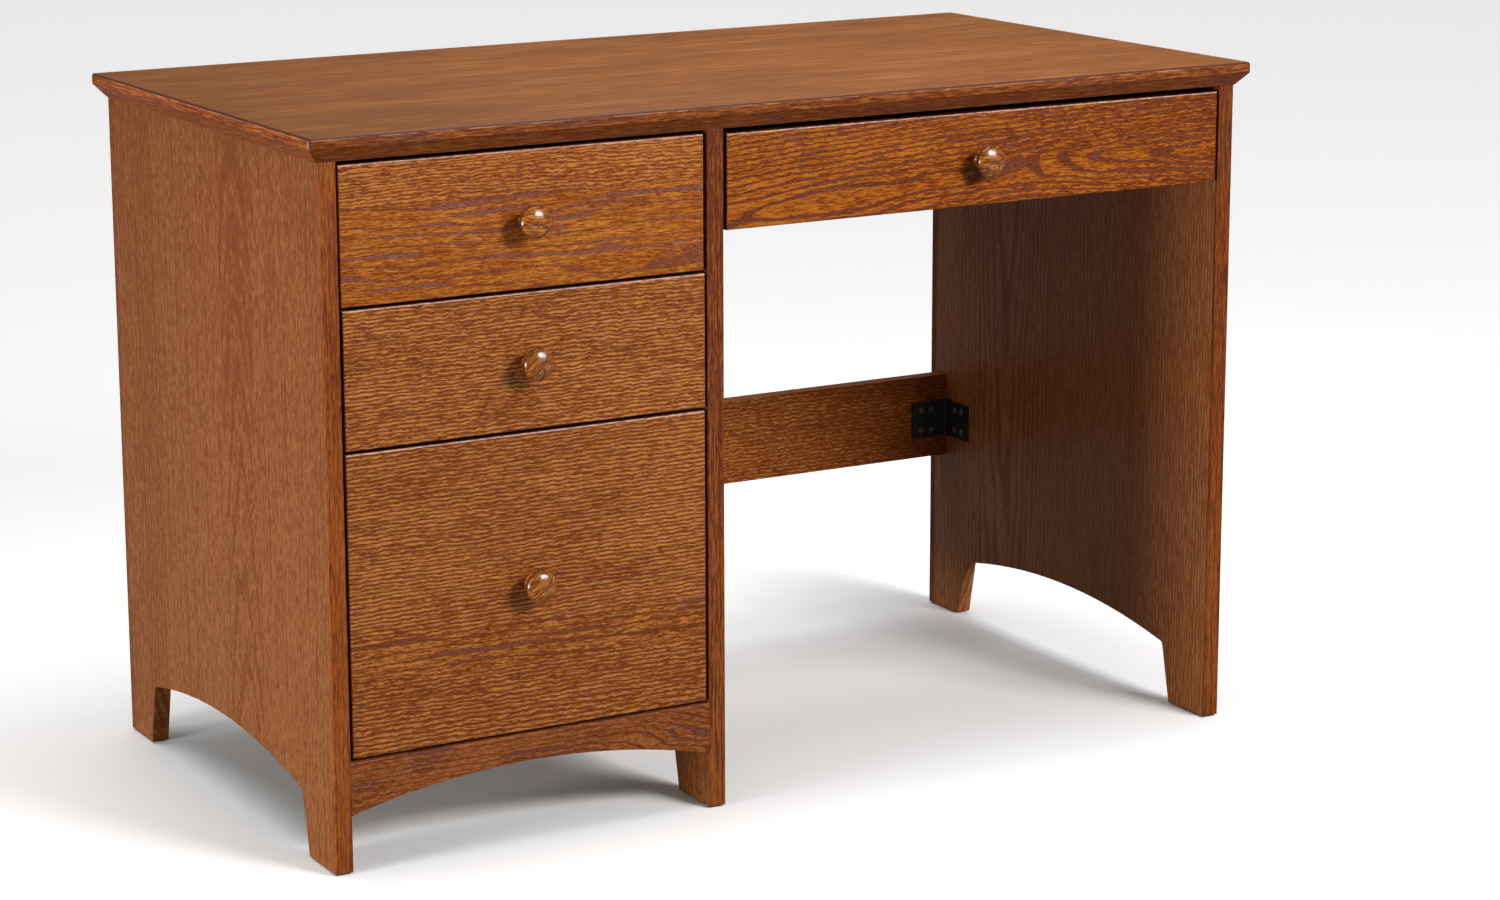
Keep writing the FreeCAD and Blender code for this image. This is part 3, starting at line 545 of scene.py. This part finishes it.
def plain_board(name, grain, across, depth):
    """Clear-lacquered hardwood of the drawer boxes: pale, with faint growth lines."""
    g = Graph(name)
    place = g.place((0, 0, 0))
    u, v, w = (place[axis] for axis in (grain, across, depth))
    lines = g.noise((u, 260), (v, 9), (w, 9), 3.0, 0.6)
    fibre = g.noise((u, 30), (v, 0.8), (w, 0.8), 2.0, 0.6)
    colour = g.mix(g.ramp(lines, 0.35, 0.65), PALE_WOOD, PALE_LINE)
    colour = g.mix(g.ramp(fibre, 0.5, 0.72, 0.0, 0.5), colour, PALE_FIBRE)
    return g.finish(colour, g.plus(0.42, g.times(fibre, 0.12)), fibre, 0.2, 0.0001,
                    Coat_Weight=0.1)


def metal(name, colour, dark, rough, metallic):
    """Drawn or rolled metal, or a moulded glide, with lines along Y and faint blotches."""
    g = Graph(name)
    x, y, z = g.place((0, 0, 0))
    lines = g.noise((x, BRUSH_THIN), (y, BRUSH_LONG), (z, BRUSH_THIN), 2.0, 0.6)
    blotch = g.noise((x, BLOTCH), (y, BLOTCH), (z, BLOTCH), 2.0, 0.6)
    shade = g.ramp(g.plus(g.times(lines, 0.5), g.times(blotch, 0.5)), 0.36, 0.64)
    roughness = g.plus(rough, g.times(blotch, 0.12), g.times(lines, 0.08))
    return g.finish(g.mix(shade, dark, colour), roughness, lines, 0.15, 0.00005,
                    Metallic=metallic)


long_board = plain_board("plain_side", Y, Z, X)
cross_board = plain_board("plain_cross", X, Z, Y)
flat_board = plain_board("plain_flat", X, Y, Z)
zinc = metal("zinc_steel", (0.36, 0.36, 0.35), (0.23, 0.23, 0.225), 0.46, 0.6)
black = metal("black_steel", (0.012, 0.012, 0.011), (0.005, 0.005, 0.005), 0.45, 0.0)
screw_steel = metal("screw_steel", (0.22, 0.165, 0.135), (0.09, 0.068, 0.056), 0.34, 0.4)
glide = metal("glide_plastic", (0.018, 0.016, 0.015), (0.010, 0.009, 0.009), 0.5, 0.0)
for drawer in DRAWERS:
    dress(long_board, drawer + "_left_side", drawer + "_right_side")
    dress(cross_board, drawer + "_inner_front", drawer + "_back")
    dress(flat_board, drawer + "_bottom")
    dress(zinc, drawer + "_slides", drawer + "_knob_screw")
dress(zinc, "cabinet_slides", "file_drawer_middle_slides", "file_drawer_file_rails")
dress(flat_board, "pedestal_bottom", "pedestal_top_rail")
dress(black, "stretcher_brackets")
dress(screw_steel, "carcass_screws")
dress(glide, "foot_glides")

# ------------------------------------------------------------------ screw heads and brads

SLIDE_GAUGE = 0.0012                    # steel of a slide, on which its screws' heads sit
SCREW_HEAD = (0.0032, 0.0013)           # radius and rise of a head
BRAD_HEAD = (0.0016, 0.0004)
HEAD_SIDES = 24
RIM_RISE = 0.30                         # share of the rise that is the head's upright rim
DOME_FLAT = 0.55                        # share of the radius that is the dome's flat middle
DOME_TURNS = (22.5, 45.0, 62.0)         # degrees round the dome, ring by ring
SLIDE_SCREW_SHARES = (0.06, 0.34, 0.62, 0.90)   # places along a slide
FRONT_SCREW_INSET = 0.040
LOWER_SCREW_LIFT = 0.004                # the lower front screws stand this much higher
BRAD_INSET = 0.009
BRAD_PITCH = 0.1


def head_rings(radius, rise, crossed):
    """Outline rings of a domed head, as (radius at each side, height), from rim to middle."""
    def cross(arm, waist):
        return [arm if side % (HEAD_SIDES // 4) == 0 else waist for side in range(HEAD_SIDES)]

    rings = [([radius] * HEAD_SIDES, 0.0), ([radius] * HEAD_SIDES, RIM_RISE * rise)]
    for angle in DOME_TURNS:
        turn = math.radians(angle)
        rings.append(([radius * (DOME_FLAT + (1 - DOME_FLAT) * math.cos(turn))] * HEAD_SIDES,
                      rise * (RIM_RISE + (1 - RIM_RISE) * math.sin(turn))))
    if crossed:
        rings.append((cross(0.62 * radius, 0.20 * radius), 0.97 * rise))
        rings.append((cross(0.44 * radius, 0.14 * radius), 0.35 * rise))
    return rings


def fasteners(name, body, material, head, places, ways, crossed=True):
    """Driven heads at their places, each standing out of the surface along its own way."""
    mesh = bmesh.new()
    for place, way in zip(places, ways):
        turn = Vector(way).to_track_quat("Z", "Y")
        previous = []
        for radii, height in head_rings(*head, crossed):
            ring = []
            for side, radius in enumerate(radii):
                angle = math.tau * side / HEAD_SIDES
                point = Vector((radius * math.cos(angle), radius * math.sin(angle), height))
                ring.append(mesh.verts.new(Vector(place) + turn @ point))
            for side in range(HEAD_SIDES if previous else 0):
                after = (side + 1) % HEAD_SIDES
                mesh.faces.new((previous[side], previous[after], ring[after], ring[side]))
            if not previous:
                mesh.faces.new(ring[::-1])
            previous = ring
        mesh.faces.new(previous)
    bmesh.ops.recalc_face_normals(mesh, faces=mesh.faces)
    data = bpy.data.meshes.new(name)
    mesh.to_mesh(data)
    mesh.free()
    data.materials.append(material)
    piece = bpy.data.objects.new(name, data)
    bpy.context.scene.collection.objects.link(piece)
    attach(piece, body)


def drawer_screws(drawer):
    """The screws of a drawer's slides, and those that hold its front to its box from inside."""
    (_, y0, z0), (_, y1, z1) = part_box(drawer + "_slides")
    box_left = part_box(drawer + "_left_side")[0].x - SLIDE_GAUGE
    box_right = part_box(drawer + "_right_side")[1].x + SLIDE_GAUGE
    middle = (z0 + z1) / 2
    places, ways = [], []
    for share in SLIDE_SCREW_SHARES:
        y = y0 + share * (y1 - y0)
        places += [(box_left, y, middle), (box_right, y, middle)]
        ways += [(-1, 0, 0), (1, 0, 0)]
    fasteners(drawer + "_slide_screws", drawer, zinc, SCREW_HEAD, places, ways)

    low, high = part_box(drawer + "_inner_front")
    quarter = (high.z - low.z) / 4
    places = [(x, high.y, z) for x in (low.x + FRONT_SCREW_INSET, high.x - FRONT_SCREW_INSET)
              for z in (low.z + quarter + LOWER_SCREW_LIFT, high.z - quarter)]
    fasteners(drawer + "_front_screws", drawer, zinc, SCREW_HEAD, places,
              [(0, 1, 0)] * len(places))


def back_brads():
    """Brads round the rim of the pedestal's back, a hand's width apart."""
    low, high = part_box("pedestal_back")
    wide, tall = high.x - low.x - 2 * BRAD_INSET, high.z - low.z - 2 * BRAD_INSET
    across, up = round(wide / BRAD_PITCH), round(tall / BRAD_PITCH)
    places = [(low.x + BRAD_INSET + wide * step / across, high.y, z)
              for step in range(across + 1) for z in (low.z + BRAD_INSET, high.z - BRAD_INSET)]
    places += [(x, high.y, low.z + BRAD_INSET + tall * step / up)
               for step in range(1, up) for x in (low.x + BRAD_INSET, high.x - BRAD_INSET)]
    fasteners("pedestal_back_brads", "carcass", screw_steel, BRAD_HEAD, places,
              [(0, 1, 0)] * len(places), crossed=False)


for drawer in DRAWERS:
    drawer_screws(drawer)
back_brads()

# ------------------------------------------------------------------ floor, light and camera

FLOOR_HALF = 40.0                       # half the floor's width
PAPER = ((0.86, 0.86, 0.86), (0.90, 0.90, 0.895))
FAR_PAPER = (0.98, 0.98, 0.98)          # far off, so that no hard horizon shows
PAPER_NEAR, PAPER_FAR = 1500, 5000      # millimetres from the desk
BOUNCE = (0.20, 0.20, 0.20)             # what the floor sends back to the desk
ROOM_COLOUR, ROOM_STRENGTH = (0.98, 0.99, 1.0, 1.0), 0.15
BACKDROP = (0.86, 0.865, 0.87, 1.0)
SOFTNESS = 1.0                          # radians across a broad light

# Broad lights: name, the side they come from, and strength
BROAD_LIGHTS = (("sky", (-0.1, 0.15, 1.0), 2.0), ("rear", (0.3, 3.3, 1.6), 0.42))
# Soft boxes: name, place, aim, size and watts. The fill hangs below the desktop, so that the
# desktop doesn't mirror it.
SOFT_BOXES = (("key", (1.10, -3.22, 2.30), (0, -0.28, 0.45), (0.88, 0.8), 101),
              ("side", (1.90, -2.90, 2.00), (0, -0.28, 0.45), (0.9, 0.9), 52),
              ("fill", (-3.5, -0.55, 0.40), (-0.4, 0, 0.40), (1.0, 0.6), 112),
              ("overhead", (0.12, 0.0, 1.8), (0.12, 0.0, 0.7), (0.7, 0.6), 15))


def floor():
    """A pale paper floor, which the camera sees paler than the desk does."""
    mesh = bpy.data.meshes.new("floor")
    size = FLOOR_HALF
    mesh.from_pydata([(-size, -size, 0), (size, -size, 0), (size, size, 0), (-size, size, 0)],
                     [], [(0, 1, 2, 3)])
    plane = bpy.data.objects.new("floor", mesh)
    bpy.context.scene.collection.objects.link(plane)
    g = Graph("floor")
    x, y = g.place((0, 0, 0))[:Z]
    paper = g.mix(g.noise((x, 900), (y, 900), 0.0, 3.0), *PAPER)
    away = g.math("SQRT", g.plus(g.times(x, x), g.times(y, y)))
    paper = g.mix(g.ramp(away, PAPER_NEAR, PAPER_FAR), paper, FAR_PAPER)
    seen = g.add("ShaderNodeLightPath").outputs["Is Camera Ray"]
    mesh.materials.append(g.finish(g.mix(seen, BOUNCE, paper), 0.8, Specular_IOR_Level=0.1))


def hang(name, data, place, aim):
    """Hangs a lamp that the camera doesn't see, turned to its aim."""
    lamp = bpy.data.objects.new(name, data)
    lamp.location = place
    lamp.rotation_euler = (Vector(aim) - Vector(place)).to_track_quat("-Z", "Y").to_euler()
    lamp.visible_camera = False
    bpy.context.scene.collection.objects.link(lamp)
    return lamp


def broad_light(name, side, energy):
    """Even light over the whole floor, which the lacquer doesn't mirror."""
    data = bpy.data.lights.new(name, "SUN")
    data.energy = energy
    data.angle = SOFTNESS
    hang(name, data, side, (0, 0, 0)).visible_glossy = False


def soft_box(name, place, aim, size, power):
    """A rectangular light close to the desk."""
    data = bpy.data.lights.new(name, "AREA")
    data.shape = "RECTANGLE"
    data.size, data.size_y = size
    data.energy = power
    hang(name, data, place, aim)


def studio():
    """A dim white room that shows the camera a pale backdrop, with its lights."""
    world = bpy.data.worlds.new("studio")
    world.use_nodes = True
    tree = world.node_tree
    room = tree.nodes["Background"]
    room.inputs["Color"].default_value = ROOM_COLOUR
    room.inputs["Strength"].default_value = ROOM_STRENGTH
    backdrop = tree.nodes.new("ShaderNodeBackground")
    backdrop.inputs["Color"].default_value = BACKDROP
    seen = tree.nodes.new("ShaderNodeLightPath")
    blend = tree.nodes.new("ShaderNodeMixShader")
    tree.links.new(seen.outputs["Is Camera Ray"], blend.inputs[0])
    tree.links.new(room.outputs[0], blend.inputs[1])
    tree.links.new(backdrop.outputs[0], blend.inputs[2])
    tree.links.new(blend.outputs[0], tree.nodes["World Output"].inputs["Surface"])
    bpy.context.scene.world = world
    bpy.context.scene.view_settings.view_transform = "Standard"
    for light in BROAD_LIGHTS:
        broad_light(*light)
    for light in SOFT_BOXES:
        soft_box(*light)


def camera():
    """The camera of the product picture: a long lens, a little above and left of the desk."""
    data = bpy.data.cameras.new("camera")
    data.sensor_width = 36.0
    data.lens = 87.653
    data.shift_x = 0.0875
    data.shift_y = -0.0367
    data.clip_start, data.clip_end = 0.1, 100.0
    lens = bpy.data.objects.new("camera", data)
    lens.location = (-1.96348, -3.54637, 1.26582)
    lens.rotation_euler = (1.358055, 0.009447, -0.491416)
    bpy.context.scene.collection.objects.link(lens)
    bpy.context.scene.camera = lens


floor()
studio()
camera()
